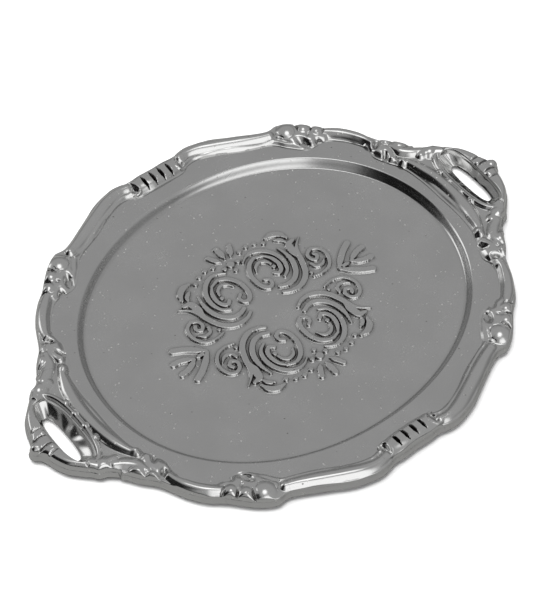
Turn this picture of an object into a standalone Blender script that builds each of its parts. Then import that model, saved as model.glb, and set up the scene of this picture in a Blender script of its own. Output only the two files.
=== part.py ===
"""Dresser vanity tray.

A dished sheet body carries a border of cast mounts and two cast loop handles.
Each cast piece lies on the edge of the sheet and has a skirt that hides that edge.
The tray stands on the underside of its well, and the border hangs just clear of the table.
The origin is under the middle of the tray, +X points to one handle and +Z is up.
"""

import math

import bmesh
import bpy
import numpy as np

MM = 0.001

# Driving dimensions, in millimetres.
SHEET = 1.2
WELL_DEPTH = 4.5
WELL_HALF_LENGTH = 105.5
WELL_HALF_WIDTH = 89.5
WELL_ROUNDNESS = 2.07
STEP_RUN = 4.2
FLANGE_RISE = 0.4
SKIRT_WALL = 2.0
SKIRT_BOTTOM = 2.7
GAP = 0.3
OPENING_ROUNDNESS = 2.6
RIB_PITCH = 5.4
RIB_DEPTH = 1.3

FLOOR_TOP = SHEET
WELL_EDGE_TOP = FLOOR_TOP + WELL_DEPTH
FLANGE_TOP = WELL_EDGE_TOP + FLANGE_RISE
SEAT = FLANGE_TOP + GAP
CUTTER_FOOT = -5.0

# The handle's opening at its top and at its narrower bottom: x of its middle, half width, half length.
OPENING_TOP = (130.2, 7.1, 21.5)
OPENING_BOTTOM = (131.9, 3.2, 15.0)

# One quarter of the border, from the middle of the long side to the middle of the handle bar.
# Each station gives the foot of the moulding on the flange, and the outer edge across from it.
STATIONS = [
    ((0, 97.5), (0, 110.0)),
    ((8, 97.5), (8, 110.3)),
    ((14, 97.8), (14, 110.0)),
    ((19, 100.4), (19.5, 111.3)),
    ((27, 100.4), (26, 111.4)),
    ((36, 96.8), (37.5, 108.2)),
    ((47, 90.8), (49.2, 102.0)),
    ((62, 84.4), (65, 94.0)),
    ((69, 76.5), (72.8, 93.6)),
    ((76.5, 69.5), (81.6, 88.0)),
    ((87.5, 68.5), (91.2, 77.9)),
    ((93.5, 64.0), (98.2, 72.0)),
    ((99, 57.0), (104.4, 63.6)),
    ((101.8, 50.0), (110.8, 51.0)),
    ((100.5, 44.0), (116.9, 44.0)),
    ((103.2, 37.0), (120.5, 38.6)),
    ((106.5, 31.0), (122.3, 35.2)),
    ((108.8, 24.0), (118, 25.0)),
    ((110, 12.0), (117, 12.0)),
    ((110, 0), (117, 0)),
]
REEDED_END = 3
LONG_END = 7
SHELL_END = 10
SHORT_END = 13
SCROLL_END = 16
LAST = len(STATIONS) - 1

# Outer edge of half a handle, from the seam with the handle scroll to the tip.
HANDLE_EDGE = [
    (126.5, 31.6),
    (130.3, 30.0),
    (132.8, 27.0),
    (136.5, 23.4),
    (141, 18.4),
    (144, 12.2),
    (145.3, 7.6),
    (147, 4.2),
    (149.3, 2.4),
    (150, 0),
]

# Heights of the castings' tops across their width, as (share of the width, height).
MOULDING_TOP = [(0, 7.0), (0.1, 9.2), (0.2, 9.8), (0.36, 9.1), (0.52, 9.6), (0.74, 10.6), (0.9, 9.8), (1, 7.4)]
REED_TOP = [(0, 7.0), (0.08, 9.4), (0.25, 10.5), (0.5, 10.8), (0.75, 10.6), (0.92, 9.6), (1, 7.8)]
SHELL_TOP = [(0, 7.0), (0.1, 9.3), (0.28, 10.3), (0.5, 10.0), (0.75, 10.8), (0.9, 10.1), (1, 8.0)]
LOOP_TOP = [(0, 7.4), (0.12, 8.9), (0.35, 10.3), (0.55, 10.7), (0.8, 9.8), (1, 7.0)]
WEB_TOP = [(0, 7.4), (0.12, 9.4), (0.28, 10.3), (0.45, 9.4), (0.65, 9.4), (0.85, 10.0), (1, 9.2)]
BAR_TOP = [(0, 7.8), (0.12, 9.3), (0.28, 10.0), (0.42, 9.3), (0.6, 10.4), (0.8, 9.9), (0.92, 8.6), (1, 7.0)]

QUARTERS = {
    "back_right": (1, 1),
    "back_left": (-1, 1),
    "front_left": (-1, -1),
    "front_right": (1, -1),
}


def clear_scene():
    for thing in list(bpy.data.objects):
        bpy.data.objects.remove(thing, do_unlink=True)


def plated_metal(name, colour, roughness):
    material = bpy.data.materials.new(name)
    material.use_nodes = True
    shader = material.node_tree.nodes["Principled BSDF"]
    shader.inputs["Base Color"].default_value = (*colour, 1)
    shader.inputs["Metallic"].default_value = 1.0
    shader.inputs["Roughness"].default_value = roughness
    material.diffuse_color = (*colour, 1)
    return material


def smooth_point(before, start, end, after, t):
    """A point between start and end on the Catmull-Rom curve through the four points."""
    before, start, end, after = (np.array(p, float) for p in (before, start, end, after))
    pull = -before + 3 * start - 3 * end + after
    bend = 2 * before - 5 * start + 4 * end - after
    return start + 0.5 * t * ((end - before) + t * (bend + t * pull))


def station(k):
    """(foot, edge) at a fractional station, which is negative beyond the middle of the long side."""
    if k < 0:
        foot, edge = station(-k)
        return foot * (-1, 1), edge * (-1, 1)
    index = min(int(k), LAST - 1)
    both = []
    for side in (0, 1):
        first = STATIONS[index][side]
        second = STATIONS[index + 1][side]
        before = STATIONS[index - 1][side] if index else (-STATIONS[1][side][0], STATIONS[1][side][1])
        after = STATIONS[index + 2][side] if index + 2 <= LAST else (second[0], -first[1])
        both.append(smooth_point(before, first, second, after, k - index))
    return both[0], both[1]


def sheet_edge(k, inset):
    """The outline that lies inset inside the border's outer edge."""
    foot, edge = station(k)
    across = foot - edge
    return edge + across * inset / np.linalg.norm(across)


def height(profile, share):
    shares, heights = zip(*profile)
    return float(np.interp(share, shares, heights))


def superellipse_point(angle, half_length, half_width, roundness):
    """Where a ray at this angle from the middle meets the superellipse."""
    direction = np.array((math.cos(angle), math.sin(angle)))
    spread = (abs(direction[0]) / half_length) ** roundness + (abs(direction[1]) / half_width) ** roundness
    return direction * spread ** (-1 / roundness)


def solid_from(name, points, faces, material, flip=False):
    """A mesh object from points in millimetres, with its faces turned outwards."""
    mesh = bpy.data.meshes.new(name)
    mesh.from_pydata([tuple(np.array(p) * MM) for p in points], [], faces)
    shape = bmesh.new()
    shape.from_mesh(mesh)
    bmesh.ops.recalc_face_normals(shape, faces=shape.faces)
    shape.to_mesh(mesh)
    shape.free()
    mesh.materials.append(material)
    mesh.shade_smooth()
    mesh.set_sharp_from_angle(angle=math.radians(35))
    thing = bpy.data.objects.new(name, mesh)
    bpy.context.scene.collection.objects.link(thing)
    return thing


def stacked_rings(rings):
    """Points and faces of a closed body made of rings of equal length, capped at both ends."""
    count = len(rings[0])
    points = [point for ring in rings for point in ring]
    faces = [list(range(count)), list(range((len(rings) - 1) * count, len(rings) * count))]
    for lower in range(len(rings) - 1):
        for i in range(count):
            j = (i + 1) % count
            a = lower * count
            b = a + count
            faces.append([a + i, a + j, b + j, b + i])
    return points, faces


def border_round(steps):
    """(k, x sign, y sign) once round the tray, counterclockwise from the +X handle."""
    quarter = np.linspace(0, LAST, steps * LAST + 1)
    turn = []
    for x_sign, y_sign in ((1, 1), (-1, 1), (-1, -1), (1, -1)):
        order = quarter[::-1] if x_sign == y_sign else quarter
        turn += [(k, x_sign, y_sign) for k in order[:-1]]
    return turn


def at_height(ring, z):
    return [(x, y, z) for x, y in ring]


def make_body(material):
    turn = border_round(2)
    edge = [sheet_edge(k, SKIRT_WALL + GAP) * (sx, sy) for k, sx, sy in turn]
    foot = [station(k)[0] * (sx, sy) for k, sx, sy in turn]
    angles = [math.atan2(y, x) for x, y in foot]

    def oval(inset):
        size = (WELL_HALF_LENGTH - inset, WELL_HALF_WIDTH - inset, WELL_ROUNDNESS)
        return [superellipse_point(angle, *size) for angle in angles]

    upper = [
        at_height(oval(STEP_RUN), FLOOR_TOP),
        at_height(oval(STEP_RUN * 0.75), FLOOR_TOP + WELL_DEPTH * 0.15),
        at_height(oval(STEP_RUN * 0.25), FLOOR_TOP + WELL_DEPTH * 0.85),
        at_height(oval(0), WELL_EDGE_TOP),
        at_height(foot, FLANGE_TOP),
        at_height(edge, FLANGE_TOP),
    ]
    lower = [[(x, y, z - SHEET) for x, y, z in ring] for ring in reversed(upper)]
    points, faces = stacked_rings(upper + lower)
    return solid_from("tray_body", points, faces, material)


def make_clearance():
    """The space below the castings that the sheet fills, with the fitting gap round it."""
    ring = [sheet_edge(k, SKIRT_WALL) * (sx, sy) for k, sx, sy in border_round(2)]
    points, faces = stacked_rings([at_height(ring, CUTTER_FOOT), at_height(ring, SEAT)])
    cutter = solid_from("sheet_clearance", points, faces, plated_metal("clearance", (1, 0, 0), 1))
    cutter.hide_render = True
    cutter.display_type = "WIRE"
    return cutter


def seat_on_sheet(thing, clearance):
    cut = thing.modifiers.new("sheet_seat", "BOOLEAN")
    cut.operation = "DIFFERENCE"
    cut.solver = "EXACT"
    cut.object = clearance


def make_strip(name, keys, signs, shares, top, material, clearance):
    """A stretch of the border between two seams. top gives the height at (station, share of the width)."""
    rows = []
    for k in keys:
        foot, edge = station(k)
        step = np.zeros(2)
        if k in (keys[0], keys[-1]):
            across = edge - foot
            along = np.array((-across[1], across[0])) / np.linalg.norm(across)
            inwards = station(keys[len(keys) // 2])[1] - edge
            step = along * math.copysign(GAP / 2, along @ inwards)
        rows.append([(foot + step) * (1 - u) + (edge + step) * u for u in shares])
    across_count = len(shares)
    points = []
    for k, row in zip(keys, rows):
        points += [(x * signs[0], y * signs[1], top(k, u)) for u, (x, y) in zip(shares, row)]
    base = len(points)
    for row in rows:
        points += [(x * signs[0], y * signs[1], SKIRT_BOTTOM) for x, y in (row[0], row[-1])]
    faces = []
    for i in range(len(keys) - 1):
        a = i * across_count
        b = a + across_count
        faces += [[a + j, a + j + 1, b + j + 1, b + j] for j in range(across_count - 1)]
        low = base + 2 * i
        faces.append([low, low + 1, low + 3, low + 2])
        faces.append([a, b, low + 2, low])
        faces.append([a + across_count - 1, b + across_count - 1, low + 3, low + 1])
    last = (len(keys) - 1) * across_count
    faces.append([*range(across_count), base + 1, base])
    faces.append([*range(last, last + across_count), base + 2 * len(keys) - 1, base + 2 * len(keys) - 2])
    seat_on_sheet(solid_from(name, points, faces, material), clearance)


def bump(k, u, at_k, at_u, reach_k, reach_u, rise):
    """A rounded swelling, or a hollow where rise is negative."""
    return rise * math.exp(-(((k - at_k) / reach_k) ** 2) - ((u - at_u) / reach_u) ** 2)


def moulding_top(k, u):
    return height(MOULDING_TOP, u)


def reeded_top(k, u):
    """Five reeds side by side between two curled ends."""
    x = abs(station(k)[0][0])
    slot = 0.5 - 0.5 * math.cos(2 * math.pi * x / RIB_PITCH) if x < 2 * RIB_PITCH else 0
    curl = bump(x, u, 15.6, 0.3, 1.6, 0.25, -RIB_DEPTH)
    return height(REED_TOP, u) - RIB_DEPTH * slot * min(1, 4 * u * (1 - u)) + max(curl, -RIB_DEPTH)


def shell_top(k, u):
    """A ball volute on the outer edge, with two hollows inside it."""
    ball = bump(k, u, 8.0, 0.82, 0.45, 0.2, 0.4)
    hollow = bump(k, u, 8.6, 0.25, 0.25, 0.15, -0.8)
    second = bump(k, u, 9.4, 0.3, 0.2, 0.12, -0.6)
    return height(SHELL_TOP, u) + ball + hollow + second


def scroll_top(k, u):
    """A round knob on the outer edge, with one hollow inside it."""
    knob = bump(k, u, 14.3, 0.85, 0.5, 0.15, 0.4)
    hollow = bump(k, u, 13.9, 0.3, 0.4, 0.15, -0.8)
    return height(SHELL_TOP, u) + knob + hollow


def make_border(material, clearance):
    shares = [0, 0.1, 0.22, 0.42, 0.55, 0.68, 0.88, 1]
    reeds = [x / 4 * RIB_PITCH / 8 for x in range(9)]
    half = [*reeds, 1.55, 1.85, 2.1, 2.35, 2.7, REEDED_END]
    reeded = [-k for k in reversed(half[1:])] + half
    for side, y_sign in (("back", 1), ("front", -1)):
        make_strip("reeded_mount_" + side, reeded, (1, y_sign), shares, reeded_top, material, clearance)
    stretches = {
        "long_moulding": (REEDED_END, LONG_END, 12, moulding_top),
        "shell_mount": (LONG_END, SHELL_END, 14, shell_top),
        "short_moulding": (SHELL_END, SHORT_END, 9, moulding_top),
        "handle_scroll": (SHORT_END, SCROLL_END, 12, scroll_top),
    }
    for kind, (start, end, steps, top) in stretches.items():
        keys = list(np.linspace(start, end, steps + 1))
        for quarter, signs in QUARTERS.items():
            make_strip(f"{kind}_{quarter}", keys, signs, shares, top, material, clearance)


def half_handle_edge():
    """The handle's outline from the middle of its bar to its tip, where y is positive or zero."""
    bar = [station(k)[0] for k in np.linspace(LAST, SCROLL_END, 7)]
    foot, edge = station(SCROLL_END)
    across = edge - foot
    away = np.array((across[1], -across[0])) / np.linalg.norm(across) * GAP / 2
    seam = [foot + away + across * share for share in (0, 0.25, 0.5, 0.75, 1)]
    loop = [seam[-1], *(np.array(p, float) for p in HANDLE_EDGE)]
    outer = []
    for i in range(len(loop) - 1):
        before = loop[max(i - 1, 0)]
        after = loop[i + 2] if i + 2 < len(loop) else loop[i] * (1, -1)
        outer += [smooth_point(before, loop[i], loop[i + 1], after, t) for t in (0.5, 1)]
    return bar[:-1] + seam + outer


def handle_top(angle, share):
    """The loop's round top, passing into the webs and the straight bar on the tray's side."""
    turned = math.degrees(abs(angle))
    towards_web = np.clip((turned - 80) / 25, 0, 1)
    towards_bar = np.clip((turned - 132) / 15, 0, 1)
    outside = height(LOOP_TOP, share) * (1 - towards_web) + height(WEB_TOP, share) * towards_web
    return outside * (1 - towards_bar) + height(BAR_TOP, share) * towards_bar


def make_handle(name, x_sign, material, clearance):
    half = half_handle_edge()
    outline = half + [point * (1, -1) for point in reversed(half[1:-1])]
    angles = [math.atan2(y, x - OPENING_TOP[0]) for x, y in outline]

    def opening_ring(middle, half_width, half_length):
        size = (half_width, half_length, OPENING_ROUNDNESS)
        return [superellipse_point(angle, *size) + (middle, 0) for angle in angles]

    opening = opening_ring(*OPENING_TOP)
    rings = [at_height(opening_ring(*OPENING_BOTTOM), SKIRT_BOTTOM)]
    for share in (0, 0.12, 0.28, 0.42, 0.58, 0.8, 0.92, 1):
        ring = []
        for angle, inner, outer in zip(angles, opening, outline):
            x, y = inner * (1 - share) + outer * share
            ring.append((x, y, handle_top(angle, share)))
        rings.append(ring)
    rings.append(at_height(outline, SKIRT_BOTTOM))
    points, faces = stacked_rings(rings)
    count = len(outline)
    below = (len(rings) - 1) * count
    under = [[i, (i + 1) % count, below + (i + 1) % count, below + i] for i in range(count)]
    points = [(x * x_sign, y, z) for x, y, z in points]
    seat_on_sheet(solid_from(name, points, faces[2:] + under, material), clearance)


def build():
    clear_scene()
    sheet_metal = plated_metal("plated_sheet", (0.60, 0.60, 0.58), 0.25)
    cast_metal = plated_metal("plated_casting", (0.66, 0.65, 0.63), 0.2)
    clearance = make_clearance()
    make_body(sheet_metal)
    make_border(cast_metal, clearance)
    make_handle("handle_right", 1, cast_metal, clearance)
    make_handle("handle_left", -1, cast_metal, clearance)


build()
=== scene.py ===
"""Looks of the dresser vanity tray: relief castings, a chased medallion and silver plate."""

import math

import bpy
import numpy as np
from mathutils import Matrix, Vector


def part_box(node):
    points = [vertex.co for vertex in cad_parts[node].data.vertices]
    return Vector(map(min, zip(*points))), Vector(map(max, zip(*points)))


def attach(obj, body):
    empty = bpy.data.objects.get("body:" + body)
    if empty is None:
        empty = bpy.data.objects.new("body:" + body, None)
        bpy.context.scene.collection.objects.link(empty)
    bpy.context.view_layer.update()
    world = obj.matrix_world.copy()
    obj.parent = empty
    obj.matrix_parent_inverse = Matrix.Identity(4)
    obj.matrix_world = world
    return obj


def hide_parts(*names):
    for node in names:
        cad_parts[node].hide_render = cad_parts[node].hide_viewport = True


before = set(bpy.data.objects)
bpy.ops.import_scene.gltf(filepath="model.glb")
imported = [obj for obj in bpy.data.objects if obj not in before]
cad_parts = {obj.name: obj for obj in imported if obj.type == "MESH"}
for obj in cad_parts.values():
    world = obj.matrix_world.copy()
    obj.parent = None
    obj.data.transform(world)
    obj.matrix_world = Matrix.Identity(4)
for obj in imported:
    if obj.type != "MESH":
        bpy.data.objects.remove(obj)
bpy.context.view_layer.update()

MM = 0.001

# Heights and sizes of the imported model, in millimetres.
SHEET = 1.2
STEP_RUN = 4.2
WELL_DEPTH = 4.5
WELL_HALF_LENGTH = 105.5
WELL_HALF_WIDTH = 89.5
WELL_ROUNDNESS = 2.07
SKIRT_WALL = 2.0
SKIRT_BOTTOM = 2.7
GAP = 0.3
BODY_LOW, BODY_HIGH = (corner.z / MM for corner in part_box("tray_body"))
FLOOR_TOP = BODY_LOW + SHEET
WELL_EDGE_TOP = FLOOR_TOP + WELL_DEPTH
FLANGE_TOP = BODY_HIGH
SEAT = FLANGE_TOP + 0.03
SEAM = 0.02
# Slots in the handles: middle along X, half width and half length, at the top and at the bottom.
OPENING_TOP = (130.2, 7.1, 21.5)
OPENING_BOTTOM = (131.9, 3.2, 15.0)
OPENING_ROUNDNESS = 2.6

# Foot and outer edge of the border over one quarter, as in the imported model.
STATIONS = [
    ((0, 97.5), (0, 110)),
    ((8, 97.5), (8, 110.3)),
    ((14, 97.8), (14, 110)),
    ((19, 100.4), (19.5, 111.3)),
    ((27, 100.4), (26, 111.4)),
    ((36, 96.8), (37.5, 108.2)),
    ((47, 90.8), (49.2, 102)),
    ((62, 84.4), (65, 94)),
    ((69, 76.5), (72.8, 93.6)),
    ((76.5, 69.5), (81.6, 88)),
    ((87.5, 68.5), (91.2, 77.9)),
    ((93.5, 64), (98.2, 72)),
    ((99, 57), (104.4, 63.6)),
    ((101.8, 50), (110.8, 51)),
    ((100.5, 44), (116.9, 44)),
    ((103.2, 37), (120.5, 38.6)),
    ((106.5, 31), (122.3, 35.2)),
    ((108.8, 24), (118, 25)),
    ((110, 12), (117, 12)),
    ((110, 0), (117, 0)),
]
REEDED_END = 3
LONG_END = 7
SHELL_END = 10
SHORT_END = 13
SCROLL_END = 16
LAST = len(STATIONS) - 1
HANDLE_EDGE = [
    (126.5, 31.6),
    (130.3, 30),
    (132.8, 27),
    (136.5, 23.4),
    (141, 18.4),
    (144, 12.2),
    (145.3, 7.6),
    (147, 4.2),
    (149.3, 2.4),
    (150, 0),
]
QUARTERS = {"back_right": (1, 1), "back_left": (-1, 1), "front_left": (-1, -1), "front_right": (1, -1)}

# Heights of the castings' relief.
VALLEY = 7.9
FOOT = 6.6
CREST = 10.6
SHOULDER = 6.4
ROUNDING = 4.4
# The outer wall from the shoulder down to the lip: (height, how far it stands back from the edge).
WALL = [
    (6.4, 0.85),
    (5.7, 0.8),
    (5.0, 0.68),
    (4.4, 0.5),
    (3.9, 0.26),
    (3.4, 0.06),
    (3.0, 0.0),
    (2.7, 0.12),
]
SETBACK = WALL[0][1]
INNER_SLOPE = 2.6
OPENING_RIM = 8.2
# Lobes on the wall of the handle's slot.
LOBE_PITCH = 10.5
LOBE_RISE = 0.35
# The medallion: height of its bands, width of their flanks, its middle and its half sizes.
MEDALLION_RISE = 1.1
FLANK = 0.44
MEDALLION_CENTRE = (-2.2, -1.0)
MEDALLION_HALF = (62.5, 51.5)


# ---------------------------------------------------------------- curves


def smooth_curve(points, per_span):
    """Catmull-Rom curve through the points."""
    points = np.array(points, float)
    ends = np.vstack([2 * points[0] - points[1], points, 2 * points[-1] - points[-2]])
    t = np.linspace(0, 1, per_span, endpoint=False)[:, None]
    parts = []
    for before, start, end, after in zip(ends[:-3], ends[1:-2], ends[2:-1], ends[3:]):
        pull = -before + 3 * start - 3 * end + after
        bend = 2 * before - 5 * start + 4 * end - after
        parts.append(start + 0.5 * t * ((end - before) + t * (bend + t * pull)))
    return np.vstack([*parts, points[-1:]])


def spiral(centre, radii, turns, start, hand=1):
    """Points along a spiral round centre, whose radius goes from radii[0] to radii[1]."""
    share = np.linspace(0, 1, max(8, int(abs(turns) * 14)))
    angle = math.radians(start) + hand * 2 * math.pi * turns * share
    radius = radii[0] + (radii[1] - radii[0]) * share
    return np.stack([centre[0] + radius * np.cos(angle), centre[1] + radius * np.sin(angle)], -1)


def stations(keys):
    """Foot and edge points at an array of fractional stations, negative beyond the long side's middle."""
    keys = np.asarray(keys, float)
    result = []
    for side in (0, 1):
        line = np.array([pair[side] for pair in STATIONS], float)
        line = np.vstack([line[1] * (-1, 1), line, line[-2] * (1, -1)])
        size = np.abs(keys)
        index = np.minimum(size.astype(int), LAST - 1)
        t = (size - index)[:, None]
        before, start, end, after = (line[index + shift] for shift in range(4))
        pull = -before + 3 * start - 3 * end + after
        bend = 2 * before - 5 * start + 4 * end - after
        point = start + 0.5 * t * ((end - before) + t * (bend + t * pull))
        point[:, 0] *= np.where(keys < 0, -1, 1)
        result.append(point)
    return result


def superellipse(angles, half_length, half_width, roundness):
    """Where rays at these angles from the middle meet the superellipse."""
    c, s = np.cos(angles), np.sin(angles)
    spread = (np.abs(c) / half_length) ** roundness + (np.abs(s) / half_width) ** roundness
    return np.stack([c, s], -1) * spread[:, None] ** (-1 / roundness)


def nearest(points, path):
    """Distance from each point to the path, and how far along it the nearest place is, from 0 to 1."""
    best = np.full(len(points), 1e18)
    along = np.zeros(len(points))
    lengths = np.linalg.norm(np.diff(path, axis=0), axis=1)
    run = np.concatenate([[0], np.cumsum(lengths)])
    for i, length in enumerate(lengths):
        if length < 1e-9:
            continue
        way = (path[i + 1] - path[i]) / length
        offset = points - path[i]
        t = np.clip(offset @ way, 0, length)
        gap = offset - t[:, None] * way
        square = (gap * gap).sum(1)
        closer = square < best
        best[closer] = square[closer]
        along[closer] = (run[i] + t[closer]) / run[-1]
    return np.sqrt(best), along


def smoothstep(low, high, value):
    t = np.clip((value - low) / (high - low), 0, 1)
    return t * t * (3 - 2 * t)


def smooth_max(a, b, blend):
    h = np.clip(0.5 + 0.5 * (a - b) / blend, 0, 1)
    return b + (a - b) * h + blend * h * (1 - h)


# ---------------------------------------------------------------- relief


class Relief:
    """Ridges, beads, grooves and hollows on a ground, all in one quarter of the tray."""

    def __init__(self, blend):
        self.blend = blend
        self.marks = []

    def ridge(self, path, width, rise, start=0.3, end=0.3, sharp=2.0):
        """A ridge. start and end are the width's shares left at its ends, sharp flattens its top."""
        self.marks.append(("ridge", np.asarray(path, float), width / 2, rise, (start, end, sharp)))

    def bead(self, centre, radius, rise):
        path = np.array([centre, centre], float) + [[0, 0], [0.01, 0]]
        self.marks.append(("ridge", path, radius, rise, (1, 1, 2.0)))

    def band(self, path, width, rise, start=0.6, end=0.8):
        """A raised band with a flat top and steep flanks."""
        self.marks.append(("band", np.asarray(path, float), width / 2, rise, (start, end, 0)))

    def groove(self, path, width, depth, start=0.2, end=0.2):
        """A groove with a rounded bottom, narrowing towards its ends like a ridge."""
        self.marks.append(("groove", np.asarray(path, float), width / 2, depth, (start, end, 2.0)))

    def hollow(self, centre, radii, turn, depth):
        """An oval hollow, whose half-axis radii[0] is turned by turn degrees from +X."""
        self.marks.append(("hollow", np.array([centre], float), radii, depth, turn))

    def over(self, points, ground):
        """Height of the relief at the points, over this ground height."""
        height = np.array(ground, float)
        for kind, path, size, rise, more in self.marks:
            reach = 1.6 * (1.4 * max(size) if kind == "hollow" else size)
            low = path.min(0) - reach
            high = path.max(0) + reach
            near = np.flatnonzero(((points > low) & (points < high)).all(1))
            if not len(near):
                continue
            spot = points[near]
            if kind == "hollow":
                angle = math.radians(more)
                offset = spot - path[0]
                u = (offset @ (math.cos(angle), math.sin(angle))) / size[0]
                v = (offset @ (-math.sin(angle), math.cos(angle))) / size[1]
                height[near] -= rise * np.exp(-((u * u + v * v) ** 1.3))
                continue
            start, end, sharp = more
            distance, along = nearest(spot, path)
            taper = start + (1 - start) * smoothstep(0, 0.35, along)
            taper *= end + (1 - end) * smoothstep(0, 0.35, 1 - along)
            share = distance / (size * taper)
            if kind == "band":
                t = np.clip((size * taper - distance) / FLANK + 0.5, 0, 1)
                flank = 0.7 * t + 0.3 * t * t * (3 - 2 * t)
                height[near] = np.maximum(height[near], ground[near] + rise * flank)
                continue
            if kind == "groove":
                height[near] -= rise * taper * np.clip(1 - share * share, 0, 1) ** 1.5
                continue
            lifted = ground[near] + rise * (0.35 + 0.65 * taper) * (1 - share**sharp)
            inside = share < 1.6
            height[near[inside]] = smooth_max(height[near[inside]], lifted[inside], self.blend)
        return height


def border_relief():
    """Curls, shells, scrolls and leaves of the castings."""
    relief = Relief(0.55)
    reeded_marks(relief)
    moulding_marks(relief)
    shell_marks(relief)
    scroll_marks(relief)
    handle_marks(relief)
    return relief


def reeded_marks(relief):
    """The swelling in the middle of the long side, with leaf-shaped cuts and a dimple beside them."""
    relief.ridge([(-12.5, 104.2), (12.5, 104.2)], 14.5, 2.6, start=0.85, end=0.8, sharp=2.2)
    for x in (2.6, 7.8):
        relief.groove([(x, 98.6), (x, 102.6), (x * 1.01, 106.6)], 1.9, 2.3, start=0.35, end=0.3)
    curl = [(20.5, 106.0), (17.4, 107.4), (13.6, 107.0), (11.9, 103.8), (13.2, 99.8), (16.6, 99.4)]
    relief.ridge(smooth_curve(curl, 6), 3.0, 1.9, start=0.6, end=0.6)
    relief.hollow((15.1, 103.0), (3.4, 1.6), 82, 2.2)


def moulding_marks(relief):
    """Long and short moulding: a fine inner bead and a broad outer roll with a groove between them."""
    bead = [
        (17.6, 101.6), (22.3, 102.4), (29.7, 100.3), (37, 97.5), (44.5, 93.7), (52, 89.8),
        (59.4, 86.7), (65, 85.3),
    ]
    relief.ridge(smooth_curve(bead, 8), 2.6, 0.75, start=0.7, end=0.5)
    roll = [
        (17, 106.2), (22.3, 106.8), (29.7, 105.4), (37, 102.3), (44.5, 98.7), (52, 95.0),
        (59.4, 91.5), (65, 89.4),
    ]
    relief.ridge(smooth_curve(roll, 8), 7.8, 2.5, start=0.75, end=0.75, sharp=2.0)
    bead = [(89.5, 70.5), (93.8, 66.9), (97.9, 62.5), (101.0, 57.6), (102.9, 52.4)]
    relief.ridge(smooth_curve(bead, 8), 2.4, 0.75, start=0.6, end=0.6)
    roll = [(88.6, 74.2), (92.5, 71.1), (97.0, 66.7), (100.9, 61.2), (103.8, 55.6), (105.0, 51.0)]
    relief.ridge(smooth_curve(roll, 8), 7.0, 2.5, start=0.7, end=0.7, sharp=2.0)


def shell_marks(relief):
    """A ball volute and two knuckles on the outer edge, with dimples inside them."""
    body = [(69.0, 86.0), (76, 81.6), (82, 77.0), (87.4, 71.6)]
    relief.ridge(smooth_curve(body, 6), 13, 1.6, start=0.35, end=0.5, sharp=3.0)
    relief.bead((74.4, 85.6), 6.6, 2.9)
    relief.bead((82.2, 81.4), 4.8, 2.8)
    relief.bead((87.0, 76.0), 4.4, 2.7)
    relief.groove([(78.6, 81.6), (80.4, 84.6), (81.0, 88.6)], 1.8, 1.1, start=0.3, end=0.8)
    relief.groove([(84.0, 77.2), (86.0, 79.6), (88.4, 81.6)], 1.6, 1.0, start=0.3, end=0.8)
    relief.groove([(88.0, 72.2), (90.0, 73.8), (92.4, 75.2)], 1.6, 1.0, start=0.3, end=0.8)
    relief.groove(spiral((74.2, 85.2), (5.6, 3.8), 0.6, 150, 1), 0.9, 0.35, start=0.5, end=0.5)
    relief.hollow((76.6, 74.2), (3.9, 1.9), 112, 2.9)
    relief.hollow((84.0, 69.6), (2.4, 1.4), 116, 2.2)
    relief.hollow((81.4, 76.6), (1.5, 0.9), 40, 0.8)


def scroll_marks(relief):
    """Beside the handle: two dimples, a knob, and a shoulder that runs to the handle."""
    body = [(102.8, 51.4), (105.8, 46.6), (107.6, 41.0), (107.4, 36.6)]
    relief.ridge(smooth_curve(body, 6), 8.4, 1.7, start=0.6, end=0.6, sharp=3.0)
    relief.hollow((105.6, 48.2), (2.8, 1.7), 35, 2.6)
    relief.hollow((105.2, 39.4), (2.5, 1.4), 60, 2.2)
    relief.bead((115.4, 40.4), 5.0, 2.9)
    relief.bead((111.2, 46.6), 3.6, 2.3)
    shoulder = [(111.6, 42.6), (113.8, 37.0), (117.6, 33.0), (121.8, 30.4)]
    relief.ridge(smooth_curve(shoulder, 6), 7.4, 2.5, start=0.7, end=0.9)


def handle_marks(relief):
    """Bar, ring round the opening, loop, ear, folds and tip of the handle."""
    bar = [(109.6, 32.0), (112.4, 26.4), (115.0, 18), (116.4, 9), (116.8, 0), (116.4, -9)]
    relief.ridge(smooth_curve(bar, 6), 7.6, 2.5, start=0.55, end=1)
    relief.bead((109.4, 30.2), 3.2, 2.5)
    arc = np.linspace(0.9, math.pi + 0.4, 50)
    ring = superellipse(arc, 9.6, 24.2, OPENING_ROUNDNESS) + (OPENING_TOP[0], 0)
    relief.ridge(ring, 3.4, 1.9, start=0.6, end=1)
    for y in (4.5, 12.5):
        relief.bead((120.2, y), 2.4, 2.3)
    loop = [(120.5, 28.2), (125, 27.2), (129.2, 25.0), (133.1, 21.6), (136.9, 16.8)]
    loop.extend([(139.6, 11.2), (140.9, 5), (141.2, 0), (140.9, -5)])
    relief.ridge(smooth_curve(loop, 8), 11.2, 2.9, start=0.6, end=1, sharp=2.0)
    relief.bead((126.0, 27.4), 5.4, 3.0)
    relief.groove([(130.8, 21.4), (134.4, 27.0)], 1.8, 0.9, start=0.4, end=0.8)
    relief.bead((145.4, 0), 4.6, 2.9)
    relief.bead((139.4, 4.6), 3.2, 3.1)
    relief.groove([(138.4, 2.6), (146.6, 3.2)], 1.7, 1.2, start=0.5, end=0.9)
    relief.groove([(138.2, 7.4), (146.0, 8.0)], 1.7, 1.1, start=0.5, end=0.9)


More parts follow.
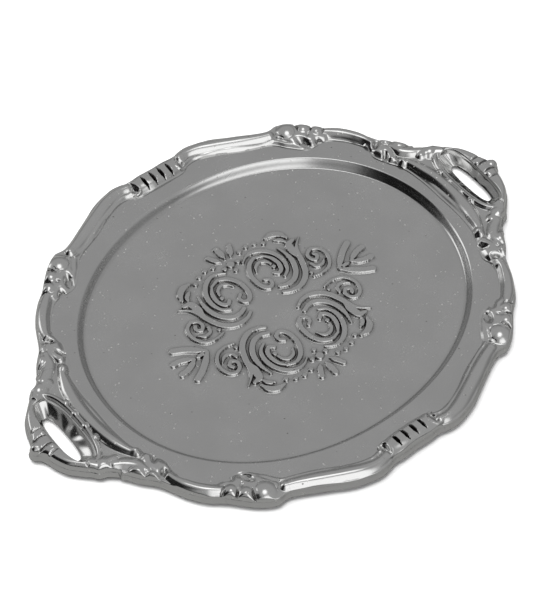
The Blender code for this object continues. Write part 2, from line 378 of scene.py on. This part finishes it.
def medallion_relief():
    """The chased medallion: flat bands, beads, leaves and petals. Its middle is the origin."""
    relief = Relief(0.08)

    def band(path, width, start=0.6, end=0.8):
        relief.band(smooth_curve(path, 7), width, MEDALLION_RISE, start, end)

    def dot(x, y, radius):
        relief.band([(x, y), (x + 0.01, y)], 2 * radius, MEDALLION_RISE, 1, 1)

    # Horn with its flaring end, the C-scroll inside it, and the two rings inside that.
    horn = [
        (10.6, 6.0), (14, 4.2), (19, 3.6), (24, 5.6), (28, 9.8), (30.6, 16), (32.2, 21.6),
        (35, 26), (39, 29.2),
    ]
    band(horn, 3.4, 0.6, 0.3)
    band([(30.3, 19), (30.8, 24), (32, 28.6), (35.4, 29.6)], 4.4, 0.4, 0.5)
    scroll = [
        (11.6, 9.9), (15.5, 8.5), (20, 9.1), (24, 12.6), (26.5, 18), (26.9, 24), (25.8, 30),
    ]
    band(scroll, 3.2, 0.8, 0.5)
    outer = [
        (5.6, 33.6), (9.6, 35.9), (14.4, 35.9), (19, 33), (22.2, 28), (23.2, 22), (21.4, 16.4),
        (17.6, 13.6),
    ]
    band(outer, 3.0, 0.4, 0.6)
    ring = [
        (7.8, 18.2), (9.8, 16.4), (9.4, 13.6), (6.8, 12.6), (4.4, 14.8), (3.3, 19.4), (4, 25),
        (7, 30), (11.6, 32.3), (16.4, 31),
    ]
    band(ring, 3.0, 0.7, 0.6)
    band([(16.4, 31), (19, 27.2), (20, 22.4), (19, 18.6), (16.6, 17.0), (14.6, 18.4)], 2.7, 0.6, 0.9)
    band([(7.6, 24.6), (9.6, 27.6), (12.8, 28.6), (15.6, 26.8), (16.6, 24.2)], 2.2, 0.5, 0.8)
    dot(16.8, 21.9, 1.3)
    # Comma leaf on the horn, and the small volute below it.
    band([(24.6, 39.4), (28.8, 39.2), (32.2, 36.8), (33.8, 33.0)], 3.8, 0.5, 0.5)
    band([(27.4, 35.4), (30.2, 33.6), (31.4, 31.2)], 2.6, 0.5, 0.7)
    volute = [
        (29.2, 4.2), (34.2, 3.4), (39.4, 4.6), (42.6, 8.4), (43.6, 12.8), (42.2, 17.2),
        (38.8, 19.2), (35.6, 17.6), (34.8, 14.4), (36.8, 12.2), (39, 13.8), (38.2, 15.8),
    ]
    band(volute, 2.3, 0.6, 1)
    band([(41, 10.4), (37.8, 8.0), (34.2, 8.6), (33.2, 11.4)], 2.1, 0.4, 1)
    dot(29.8, 7.0, 1.1)
    # Tulip on the long axis.
    band([(43.0, 0.6), (47.2, 4.6), (51.6, 8.0), (56.4, 10.6)], 3.8, 0.6, 1)
    band([(50.6, 0.2), (53.6, 2.0), (57.2, 3.4), (61.0, 3.8)], 3.4, 0.5, 1)
    band([(45.6, 0), (49.0, 0)], 2.4, 1, 0.4)
    # Palmette on the short axis, with a boss, and beads that run to the comma leaf.
    band([(0, 41.6), (0, 45.4), (0, 49.2)], 3.6, 0.35, 0.9)
    band([(3.2, 40.8), (5.2, 43.8), (6.9, 47.0)], 3.2, 0.35, 0.9)
    dot(0, 36.6, 2.2)
    for x, y in ((4.2, 36.0), (0, 32.0), (8.6, 40.4), (13.2, 41.2), (17.9, 40.0), (22.0, 37.4)):
        dot(x, y, 1.35)
    return relief


BORDER = border_relief()
MEDALLION = medallion_relief()


def handle_outline(per_span):
    """Foot and edge at the seam, and the outer edge of half a handle from there to the tip."""
    foot, edge = (side[0] for side in stations([SCROLL_END]))
    half = smooth_curve([edge, *HANDLE_EDGE, (149.3, -2.4)], per_span)
    return foot, edge, half[:-per_span]


def outer_edge():
    """The outer edge of one quarter of the tray with a little of the next ones, as one line."""
    border = stations(np.linspace(-1.5, SCROLL_END, 260))[1]
    handle = handle_outline(10)[2]
    return np.vstack([border, handle[1:], handle[-12:-1][::-1] * (1, -1)])


def opening_ring(angles, middle, half_width, half_length):
    return superellipse(angles, half_width, half_length, OPENING_ROUNDNESS) + (middle, 0)


OUTER_EDGE = outer_edge()
OPENING = opening_ring(np.linspace(-math.pi, math.pi, 200), *OPENING_TOP)


def rounded_rim(distance, low, reach):
    """Height of the rounding that falls from the crest to low, at a distance from an edge."""
    t = np.clip(1 - distance / reach, 0, 1)
    return low + (CREST + 0.9 - low) * np.sqrt(np.clip(1 - t * t, 0, 1))


def casting_height(points, foot_distance):
    """Height of the castings' top surface over points of the first quarter."""
    ground = FOOT + (VALLEY - FOOT) * smoothstep(0, INNER_SLOPE, foot_distance)
    height = BORDER.over(points, ground)
    rim = rounded_rim(np.maximum(0, nearest(points, OUTER_EDGE)[0] - SETBACK), SHOULDER, ROUNDING)
    height = -smooth_max(-height, -rim, 0.5)
    if points[:, 0].max() > 112:
        rim = rounded_rim(nearest(points, OPENING)[0], OPENING_RIM, 1.8)
        height = -smooth_max(-height, -rim, 0.4)
    return height


# ---------------------------------------------------------------- meshes


def metal_piece(name, points, faces, node, material, mirror=(1, 1)):
    """A piece of the tray that stands for a CAD node. Points are in millimetres."""
    points = np.asarray(points, float) * MM
    points[:, 0] *= mirror[0]
    points[:, 1] *= mirror[1]
    if mirror[0] * mirror[1] < 0:
        faces = [face[::-1] for face in faces]
    mesh = bpy.data.meshes.new(name)
    mesh.from_pydata(points.tolist(), [], faces)
    mesh.update()
    mesh.shade_smooth()
    mesh.set_sharp_from_angle(angle=math.radians(50))
    mesh.materials.append(material)
    thing = bpy.data.objects.new(name, mesh)
    bpy.context.scene.collection.objects.link(thing)
    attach(thing, "root")
    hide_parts(node)
    return thing


def bridged(loops, closed, capped):
    """Faces between equal loops of points, each given as the index of its first point and its length."""
    count = loops[0][1]
    faces = []
    for (a, _), (b, _) in zip(loops[:-1], loops[1:]):
        for i in range(count if closed else count - 1):
            j = (i + 1) % count
            faces.append((a + i, a + j, b + j, b + i))
    if capped:
        first, last = loops[0][0], loops[-1][0]
        faces.append(tuple(range(first + count - 1, first - 1, -1)))
        faces.append(tuple(range(last, last + count)))
    return faces


def strip_geometry(start, end, spacing):
    """Points and faces of a stretch of the border between two stations."""
    rough = stations(np.linspace(start, end, 60))
    length = np.linalg.norm(np.diff(rough[1], axis=0), axis=1).sum()
    width = np.linalg.norm(rough[1] - rough[0], axis=1).max()
    keys = np.linspace(start, end, int(length / spacing) + 1)
    foot, edge = stations(keys)
    for end_row, inside in ((0, 1), (-1, -2)):
        away = edge[inside] - edge[end_row]
        away /= np.linalg.norm(away)
        foot[end_row] += away * SEAM
        edge[end_row] += away * SEAM
    inwards = foot - edge
    across = np.linalg.norm(inwards, axis=1)
    inwards /= across[:, None]
    crown = edge + inwards * SETBACK
    shares = np.linspace(0, 1, int(width / spacing) + 1)
    shares = np.sort(np.concatenate([shares, 1 - np.array([0.1, 0.25, 0.45, 0.7]) * spacing / width]))
    grid = foot[:, None] * (1 - shares[None, :, None]) + crown[:, None] * shares[None, :, None]
    flat = grid.reshape(-1, 2)
    foot_distance = (shares[None, :] * (across - SETBACK)[:, None]).ravel()
    height = casting_height(np.abs(flat), foot_distance).reshape(len(keys), len(shares))
    loops = []
    points = []
    for i in range(len(keys)):
        row = [(*grid[i, j], height[i, j]) for j in range(len(shares))]
        row += [(*(edge[i] + inwards[i] * back), z) for z, back in wall_rows(height[i, -1])]
        row.append((*(edge[i] + inwards[i] * SKIRT_WALL), SKIRT_BOTTOM))
        row.append((*(edge[i] + inwards[i] * SKIRT_WALL), SEAT))
        row.append((*foot[i], SEAT))
        loops.append((len(points), len(row)))
        points += row
    return points, bridged(loops, True, True)


def wall_rows(top):
    """Heights and setbacks of the outer wall below a crown at this height."""
    share = (top - SKIRT_BOTTOM) / (WALL[0][0] - SKIRT_BOTTOM)
    return [(SKIRT_BOTTOM + (z - SKIRT_BOTTOM) * share, back) for z, back in WALL[1:]]


def handle_geometry(spacing):
    """Points and faces of the right handle, as rings from the foot of the opening out to the lip."""
    foot, edge, loop = handle_outline(9)
    bar = stations(np.linspace(LAST, SCROLL_END, 56))[0]
    seam = foot + (edge - foot) * np.linspace(0, 1, 40)[:, None]
    away = np.array((edge - foot)[::-1]) * (1, -1)
    seam = seam + away / np.linalg.norm(away) * SEAM
    half = np.vstack([bar[:-1], seam, loop[1:]])
    outline = np.vstack([half, half[1:-1][::-1] * (1, -1)])
    count = len(outline)
    ray = outline - (OPENING_TOP[0], 0)
    angles = np.arctan2(ray[:, 1], ray[:, 0])
    opening = opening_ring(angles, *OPENING_TOP)
    inwards = opening - outline
    reach = np.linalg.norm(inwards, axis=1)
    inwards /= reach[:, None]
    # The bar and the seams lie over the sheet. The loop has the same outer wall as the border.
    on_sheet = (outline[:, 0] < 121.9) & (np.abs(outline[:, 1]) < 35.1)
    setback = np.where(on_sheet, 0, SETBACK)
    crown = outline + inwards * setback[:, None]
    shares = np.linspace(0, 1, int(reach.max() / spacing / 1.4) + 1)
    shares = 0.5 - 0.5 * np.cos(np.pi * shares) * (0.55 + 0.45 * np.abs(np.cos(np.pi * shares)))
    shares = np.sort(np.concatenate([shares, [0.003, 0.008, 0.992, 0.997]]))
    ring_points = opening[None] * (1 - shares[:, None, None]) + crown[None] * shares[:, None, None]
    quarter = np.abs(ring_points.reshape(-1, 2))
    bar_line = stations(np.linspace(SCROLL_END, LAST, 40))[0]
    height = casting_height(quarter, nearest(quarter, bar_line)[0]).reshape(len(shares), count)
    rings = opening_wall(angles, opening, height[0])
    for row, z in zip(ring_points, height):
        rings.append([(*row[i], z[i]) for i in range(count)])
    low = np.where(on_sheet, SEAT, SKIRT_BOTTOM)
    top = height[-1]
    for z, back in WALL[1:]:
        share = (z - SKIRT_BOTTOM) / (WALL[0][0] - SKIRT_BOTTOM)
        step = np.where(on_sheet, 0, back)
        wall = outline + inwards * step[:, None]
        level = low + (top - low) * share
        rings.append([(*wall[i], level[i]) for i in range(count)])
    inner = outline.copy()
    edge_line = sheet_edge_line()
    for i in np.flatnonzero(on_sheet):
        way = outline[i] - opening[i]
        inner[i] = opening[i] + way * ray_share(opening[i], way, edge_line)
    rings.append([(*inner[i], low[i]) for i in range(count)])
    rings.append([(*inner[i], SKIRT_BOTTOM) for i in range(count)])
    points = [point for ring in rings for point in ring]
    loops = [(index * count, count) for index in range(len(rings))]
    faces = bridged([*loops, loops[0]], True, False)
    return points, faces


def opening_wall(angles, opening, rim):
    """Rings from the foot of the opening up to just below its rim, lobed on the tray's side."""
    bottom = opening_ring(angles, *OPENING_BOTTOM)
    outwards = np.stack([np.cos(angles), np.sin(angles)], -1)
    towards_tray = smoothstep(0.1, 0.7, -outwards[:, 0])
    lobes = np.cos(2 * np.pi * opening[:, 1] / LOBE_PITCH) * (0.35 + 0.65 * towards_tray)
    rings = []
    for share in np.linspace(0, 1, 15)[:-1]:
        swell = math.sin(math.pi * min(1, share * 1.15))
        middle = bottom + (opening - bottom) * (1 - (1 - share) ** 1.5)
        middle = middle - outwards * (LOBE_RISE * swell * lobes)[:, None]
        z = SKIRT_BOTTOM + (rim - SKIRT_BOTTOM) * share**0.9
        rings.append([(*middle[i], z[i]) for i in range(len(angles))])
    return rings


def sheet_edge_line():
    foot, edge = stations(np.linspace(SCROLL_END - 1, LAST, 60))
    inwards = foot - edge
    inwards /= np.linalg.norm(inwards, axis=1)[:, None]
    line = edge + inwards * SKIRT_WALL
    return np.vstack([line, line[:-1][::-1] * (1, -1)])


def ray_share(start, way, line):
    """How far along way, from start, the line is crossed, as a share of way."""
    best = 1.0
    for a, b in zip(line[:-1], line[1:]):
        side = b - a
        bottom = way[0] * side[1] - way[1] * side[0]
        if abs(bottom) < 1e-12:
            continue
        offset = a - start
        share = (offset[0] * side[1] - offset[1] * side[0]) / bottom
        place = (offset[0] * way[1] - offset[1] * way[0]) / bottom
        if 0 <= place <= 1 and 0 < share < best:
            best = share
    return best


def body_geometry(spacing):
    """The sheet: rings from the medallion's rectangle to the hidden edge and back underneath."""
    half_x, half_y = MEDALLION_HALF
    across = np.linspace(-half_x, half_x, int(2 * half_x / spacing) + 1)
    along = np.linspace(-half_y, half_y, int(2 * half_y / spacing) + 1)
    corner = [(x, -half_y) for x in across[:-1]] + [(half_x, y) for y in along[:-1]]
    corner = np.array(corner + [(-x, -y) for x, y in corner]) + MEDALLION_CENTRE
    angles = np.arctan2(corner[:, 1], corner[:, 0])
    foot, edge = sheet_rays(angles)
    rings = [(corner, FLOOR_TOP)]
    for share in np.linspace(1, 0, 15):
        inset = STEP_RUN * share
        oval = superellipse(angles, WELL_HALF_LENGTH - inset, WELL_HALF_WIDTH - inset, WELL_ROUNDNESS)
        rings.append((oval, FLOOR_TOP + WELL_DEPTH * smoothstep(0, 1, 1 - share)))
    well_edge = rings[-1][0]
    for share in (0.05, 0.5, 0.95, 1):
        ring = well_edge * (1 - share) + foot * share
        rings.append((ring, WELL_EDGE_TOP + (FLANGE_TOP - WELL_EDGE_TOP) * share))
    rings.append((edge, FLANGE_TOP))
    rings += [(ring, z - SHEET) for ring, z in reversed(rings)]
    points = [(x, y, z) for ring, z in rings for x, y in ring]
    count = len(corner)
    loops = [(index * count, count) for index in range(len(rings))]
    return points, bridged([*loops, loops[0]], True, False)


def medallion_geometry(side, spacing):
    """One half of the floor's middle, with the medallion on it. side is -1 for the left half."""
    half_x, half_y = MEDALLION_HALF
    xs = np.linspace(0, half_x, int(half_x / spacing) + 1) * side
    ys = np.linspace(-half_y, half_y, int(2 * half_y / spacing) + 1)
    gx, gy = np.meshgrid(xs, ys, indexing="ij")
    flat = np.stack([gx.ravel(), gy.ravel()], -1)
    height = MEDALLION.over(np.abs(flat), np.full(len(flat), FLOOR_TOP))
    points = np.column_stack([flat + MEDALLION_CENTRE, height]).tolist()
    nx, ny = len(xs), len(ys)
    a = (np.arange(nx - 1)[:, None] * ny + np.arange(ny - 1)[None]).ravel()
    faces = np.stack([a, a + ny, a + ny + 1, a + 1], -1).tolist()
    rim = [i * ny for i in range(nx)]
    rim += [(nx - 1) * ny + j for j in range(1, ny)]
    rim += [i * ny + ny - 1 for i in range(nx - 2, -1, -1)]
    rim += list(range(ny - 2, 0, -1))
    start = len(points)
    count = len(rim)
    points += [(points[i][0], points[i][1], FLOOR_TOP - SHEET) for i in rim]
    for i in range(count):
        j = (i + 1) % count
        faces.append((rim[j], rim[i], start + i, start + j))
    faces.append(tuple(range(start + count - 1, start - 1, -1)))
    if side < 0:
        faces = [face[::-1] for face in faces]
    return points, faces


def sheet_rays(angles):
    """Points of the foot line and of the sheet's edge at these angles round the middle of the tray."""
    keys = np.linspace(0, LAST, 1200)
    foot, edge = stations(keys)
    inwards = foot - edge
    inwards /= np.linalg.norm(inwards, axis=1)[:, None]
    hidden = edge + inwards * (SKIRT_WALL + GAP)
    result = []
    for line in (foot, hidden):
        turned = np.arctan2(line[:, 1], line[:, 0])
        order = np.argsort(turned)
        folded = np.arctan2(np.abs(np.sin(angles)), np.abs(np.cos(angles)))
        radius = np.interp(folded, turned[order], np.linalg.norm(line, axis=1)[order])
        result.append(np.stack([radius * np.cos(angles), radius * np.sin(angles)], -1))
    return result


# ---------------------------------------------------------------- materials


class Nodes:
    """Short calls for building a material's nodes."""

    def __init__(self, tree):
        self.tree = tree

    def add(self, kind, inputs=None, **settings):
        node = self.tree.nodes.new(kind)
        for key, value in settings.items():
            setattr(node, key, value)
        for key, value in (inputs or {}).items():
            if isinstance(value, bpy.types.NodeSocket):
                self.tree.links.new(value, node.inputs[key])
            else:
                node.inputs[key].default_value = value
        return node

    def math(self, operation, a, b=0.0, clamp=False):
        return self.add("ShaderNodeMath", {0: a, 1: b}, operation=operation, use_clamp=clamp).outputs[0]

    def ramp(self, value, low, high, to_low=0.0, to_high=1.0):
        inputs = {"Value": value, "From Min": low, "From Max": high, "To Min": to_low, "To Max": to_high}
        return self.add("ShaderNodeMapRange", inputs, interpolation_type="SMOOTHSTEP").outputs["Result"]

    def noise(self, vector, scale, detail=3.0, roughness=0.5):
        inputs = {"Vector": vector, "Scale": scale, "Detail": detail, "Roughness": roughness}
        return self.add("ShaderNodeTexNoise", inputs).outputs["Fac"]

    def link(self, out, into):
        self.tree.links.new(out, into)


def silver_plate(name, colour, base_roughness, shade_reach):
    """Silver plate with cloudiness, scratches and specks, and painted shade that darkens its colour in
    recesses and on steep flanks.

    The last argument gives how far the painted shade looks for nearby metal, and its two limits.
    """
    material = bpy.data.materials.new(name)
    material.use_nodes = True
    nodes = Nodes(material.node_tree)
    shader = material.node_tree.nodes["Principled BSDF"]
    shader.inputs["Metallic"].default_value = 1.0
    place = nodes.add("ShaderNodeTexCoord").outputs["Object"]
    cloud = nodes.noise(place, 38.0, 4.0, 0.55)
    grain = nodes.noise(place, 620.0, 3.0, 0.65)
    # Scratches: thin lines from noise that is stretched along three directions.
    scratches = []
    for turn, seed in ((0.5, 0.0), (2.1, 3.7), (1.2, 8.1)):
        placing = {"Vector": place, "Location": (seed, seed, seed)}
        placing.update({"Rotation": (0, 0, turn), "Scale": (14.0, 900.0, 14.0)})
        turned = nodes.add("ShaderNodeMapping", placing).outputs["Vector"]
        line = nodes.noise(turned, 1.0, 1.0, 0.4)
        patch = nodes.ramp(nodes.noise(place, 55.0 + seed, 1.0), 0.56, 0.7)
        scratches.append(nodes.math("MULTIPLY", nodes.ramp(line, 0.66, 0.74), patch))
    scratch = nodes.math("MAXIMUM", nodes.math("MAXIMUM", scratches[0], scratches[1]), scratches[2])
    # Specks and pinholes: small cells, few of which are chosen.
    cells = nodes.add("ShaderNodeTexVoronoi", {"Vector": place, "Scale": 520.0, "Randomness": 1.0})
    chosen = nodes.add("ShaderNodeSeparateColor", {"Color": cells.outputs["Color"]})
    dot = nodes.ramp(cells.outputs["Distance"], 0.30, 0.12)
    speck = nodes.math("MULTIPLY", dot, nodes.ramp(chosen.outputs["Red"], 0.84, 0.99))
    pit = nodes.math("MULTIPLY", dot, nodes.ramp(chosen.outputs["Green"], 0.975, 0.998))
    tone = nodes.add("ShaderNodeMix", {"Factor": cloud}, data_type="RGBA")
    tone.inputs["A"].default_value = (*(c * 0.93 for c in colour), 1)
    tone.inputs["B"].default_value = (*(min(1, c * 1.07) for c in colour), 1)
    light = nodes.add("ShaderNodeMix", {"Factor": nodes.math("MULTIPLY", speck, 0.7)}, data_type="RGBA")
    nodes.link(tone.outputs["Result"], light.inputs["A"])
    light.inputs["B"].default_value = (0.95, 0.94, 0.92, 1)
    dark = nodes.add("ShaderNodeMix", {"Factor": nodes.math("MULTIPLY", pit, 0.75)}, data_type="RGBA")
    nodes.link(light.outputs["Result"], dark.inputs["A"])
    dark.inputs["B"].default_value = (0.16, 0.15, 0.14, 1)
    # Painted shade: ambient occlusion darkens the colour to near-black in recesses and on steep flanks,
    # standing in for the dark surroundings the metal would mirror there.
    reach = {"Distance": shade_reach[0]}
    sky = nodes.add("ShaderNodeAmbientOcclusion", reach, samples=6, only_local=True).outputs["AO"]
    openness = nodes.ramp(sky, shade_reach[1], shade_reach[2])
    painted_shade = nodes.add("ShaderNodeMix", {"Factor": openness}, data_type="RGBA")
    painted_shade.inputs["A"].default_value = (0.045, 0.042, 0.038, 1)
    nodes.link(dark.outputs["Result"], painted_shade.inputs["B"])
    nodes.link(painted_shade.outputs["Result"], shader.inputs["Base Color"])
    rough = nodes.ramp(cloud, 0.3, 0.7, base_roughness * 0.8, base_roughness * 1.25)
    rough = nodes.math("ADD", rough, nodes.math("MULTIPLY", scratch, 0.1))
    rough = nodes.math("ADD", rough, nodes.math("MULTIPLY", speck, 0.25), clamp=True)
    nodes.link(rough, shader.inputs["Roughness"])
    # Bump, in metres: orange peel, scratches and pinholes.
    relief = nodes.math("MULTIPLY", cloud, 0.00009)
    relief = nodes.math("ADD", relief, nodes.math("MULTIPLY", grain, 0.00001))
    relief = nodes.math("SUBTRACT", relief, nodes.math("MULTIPLY", scratch, 0.000012))
    relief = nodes.math("ADD", relief, nodes.math("MULTIPLY", speck, 0.00004))
    relief = nodes.math("SUBTRACT", relief, nodes.math("MULTIPLY", pit, 0.00006))
    bump = nodes.add("ShaderNodeBump", {"Height": relief, "Distance": 1.0, "Strength": 1.0})
    nodes.link(bump.outputs["Normal"], shader.inputs["Normal"])
    return material


# ---------------------------------------------------------------- stage


CAMERA_AZIMUTH = math.radians(-38.0)
CAMERA_ELEVATION = math.radians(52.9)
CAMERA_DISTANCE = 0.9715
CAMERA_LENS = 115.2
LOOK_ASIDE = 0.0051
LOOK_HEIGHT = 0.0069


def make_camera():
    turn = CAMERA_AZIMUTH
    tilt = CAMERA_ELEVATION
    level = math.cos(tilt)
    back = np.array((math.sin(turn) * level, -math.cos(turn) * level, math.sin(tilt)))
    right = np.array((math.cos(turn), math.sin(turn), 0))
    target = np.array((0, 0, LOOK_HEIGHT)) - right * LOOK_ASIDE
    data = bpy.data.cameras.new("camera")
    data.lens = CAMERA_LENS
    data.sensor_width = 36.0
    data.sensor_fit = "AUTO"
    data.clip_start = 0.01
    data.clip_end = 50
    camera = bpy.data.objects.new("camera", data)
    bpy.context.scene.collection.objects.link(camera)
    camera.location = target + back * CAMERA_DISTANCE
    camera.rotation_euler = (math.pi / 2 - tilt, 0, turn)
    bpy.context.scene.camera = camera


def make_floor():
    mesh = bpy.data.meshes.new("floor")
    size = 4.0
    corners = [(-size, -size, 0), (size, -size, 0), (size, size, 0), (-size, size, 0)]
    mesh.from_pydata(corners, [], [(0, 1, 2, 3)])
    floor = bpy.data.objects.new("floor", mesh)
    bpy.context.scene.collection.objects.link(floor)
    material = bpy.data.materials.new("pale_floor")
    material.use_nodes = True
    nodes = Nodes(material.node_tree)
    shader = material.node_tree.nodes["Principled BSDF"]
    path = nodes.add("ShaderNodeLightPath")
    tone = nodes.add("ShaderNodeMix", {"Factor": path.outputs["Is Glossy Ray"]}, data_type="RGBA")
    tone.inputs["A"].default_value = (0.92, 0.92, 0.92, 1)
    tone.inputs["B"].default_value = (0.25, 0.25, 0.245, 1)
    nodes.link(tone.outputs["Result"], shader.inputs["Base Color"])
    shader.inputs["Roughness"].default_value = 0.9
    shader.inputs["Specular IOR Level"].default_value = 0.0
    mesh.materials.append(material)


def make_world():
    """A grey room with pale soft boxes and dark sides, seen only as light and reflections."""
    world = bpy.data.worlds.new("studio")
    bpy.context.scene.world = world
    world.use_nodes = True
    nodes = Nodes(world.node_tree)
    background = world.node_tree.nodes["Background"]
    way = nodes.add("ShaderNodeTexCoord").outputs["Generated"]
    parts = nodes.add("ShaderNodeSeparateXYZ", {0: way})
    x, y, z = (parts.outputs[i] for i in range(3))
    turn = nodes.math("ARCTAN2", nodes.math("MULTIPLY", y, -1), nodes.math("MULTIPLY", x, -1))
    turn = nodes.math("MULTIPLY", turn, 180 / math.pi)
    rise = nodes.math("MULTIPLY", nodes.math("ARCSINE", z), 180 / math.pi)

    def window(value, low, high, soft):
        opens = nodes.ramp(value, low - soft, low + soft)
        closes = nodes.ramp(value, high + soft, high - soft)
        return nodes.math("MULTIPLY", opens, closes)

    def box(turns, rises, soft):
        return nodes.math("MULTIPLY", window(turn, *turns, soft), window(rise, *rises, soft))

    glow = nodes.ramp(rise, -5, 30, 0.2, 0.42)
    for turns, rises, soft, level in (
        ((52, 104), (14, 62), 7, 1.0),
        ((-72, -45), (8, 28), 5, 1.2),
        ((-400, 400), (76, 120), 6, 1.4),
    ):
        glow = nodes.math("ADD", glow, nodes.math("MULTIPLY", box(turns, rises, soft), level))
    dark = nodes.math("MAXIMUM", box((-38, 22), (-8, 55), 6), box((18, 112), (-20, 9), 4))
    glow = nodes.math("MULTIPLY", glow, nodes.math("SUBTRACT", 1.0, nodes.math("MULTIPLY", dark, 0.97)))
    path = nodes.add("ShaderNodeLightPath")
    seen = nodes.add("ShaderNodeMix", {"Factor": path.outputs["Is Camera Ray"]}, data_type="RGBA")
    grey = nodes.add("ShaderNodeCombineColor", {0: glow, 1: glow, 2: glow})
    nodes.link(grey.outputs[0], seen.inputs["A"])
    seen.inputs["B"].default_value = (0.95, 0.95, 0.95, 1)
    nodes.link(seen.outputs["Result"], background.inputs["Color"])


def make_overhead_light():
    """One wide soft light over the table. The plate doesn't mirror it."""
    data = bpy.data.lights.new("overhead", "AREA")
    data.shape = "SQUARE"
    data.size = 1.6
    data.energy = 38
    light = bpy.data.objects.new("overhead", data)
    light.location = (-0.25, 0.35, 1.6)
    light.rotation_euler = (math.radians(-12), math.radians(-9), 0)
    light.visible_glossy = False
    bpy.context.scene.collection.objects.link(light)


# ---------------------------------------------------------------- assembly


def build():
    sheet = silver_plate("plated_sheet", (0.60, 0.60, 0.597), 0.2, (0.0021, 0.52, 0.95))
    cast = silver_plate("plated_casting", (0.64, 0.64, 0.635), 0.17, (0.0036, 0.38, 0.8))
    make_camera()
    points, faces = body_geometry(1.0)
    metal_piece("tray_sheet", points, faces, "tray_body", sheet)
    for name, side in (("medallion_right", 1), ("medallion_left", -1)):
        points, faces = medallion_geometry(side, 0.27)
        metal_piece(name, points, faces, "tray_body", sheet)
    stretches = {
        "long_moulding": (REEDED_END, LONG_END, 0.34),
        "shell_mount": (LONG_END, SHELL_END, 0.27),
        "short_moulding": (SHELL_END, SHORT_END, 0.32),
        "handle_scroll": (SHORT_END, SCROLL_END, 0.27),
    }
    for kind, (start, end, spacing) in stretches.items():
        points, faces = strip_geometry(start, end, spacing)
        for quarter, mirror in QUARTERS.items():
            node = f"{kind}_{quarter}"
            metal_piece(node + "_relief", points, faces, node, cast, mirror)
    points, faces = strip_geometry(-REEDED_END, REEDED_END, 0.27)
    for side, mirror in (("back", (1, 1)), ("front", (1, -1))):
        node = "reeded_mount_" + side
        metal_piece(node + "_relief", points, faces, node, cast, mirror)
    points, faces = handle_geometry(0.3)
    for side, mirror in (("right", (1, 1)), ("left", (-1, 1))):
        node = "handle_" + side
        metal_piece(node + "_relief", points, faces, node, cast, mirror)
    make_floor()
    make_world()
    make_overhead_light()
    bpy.context.scene.view_settings.view_transform = "Standard"


build()
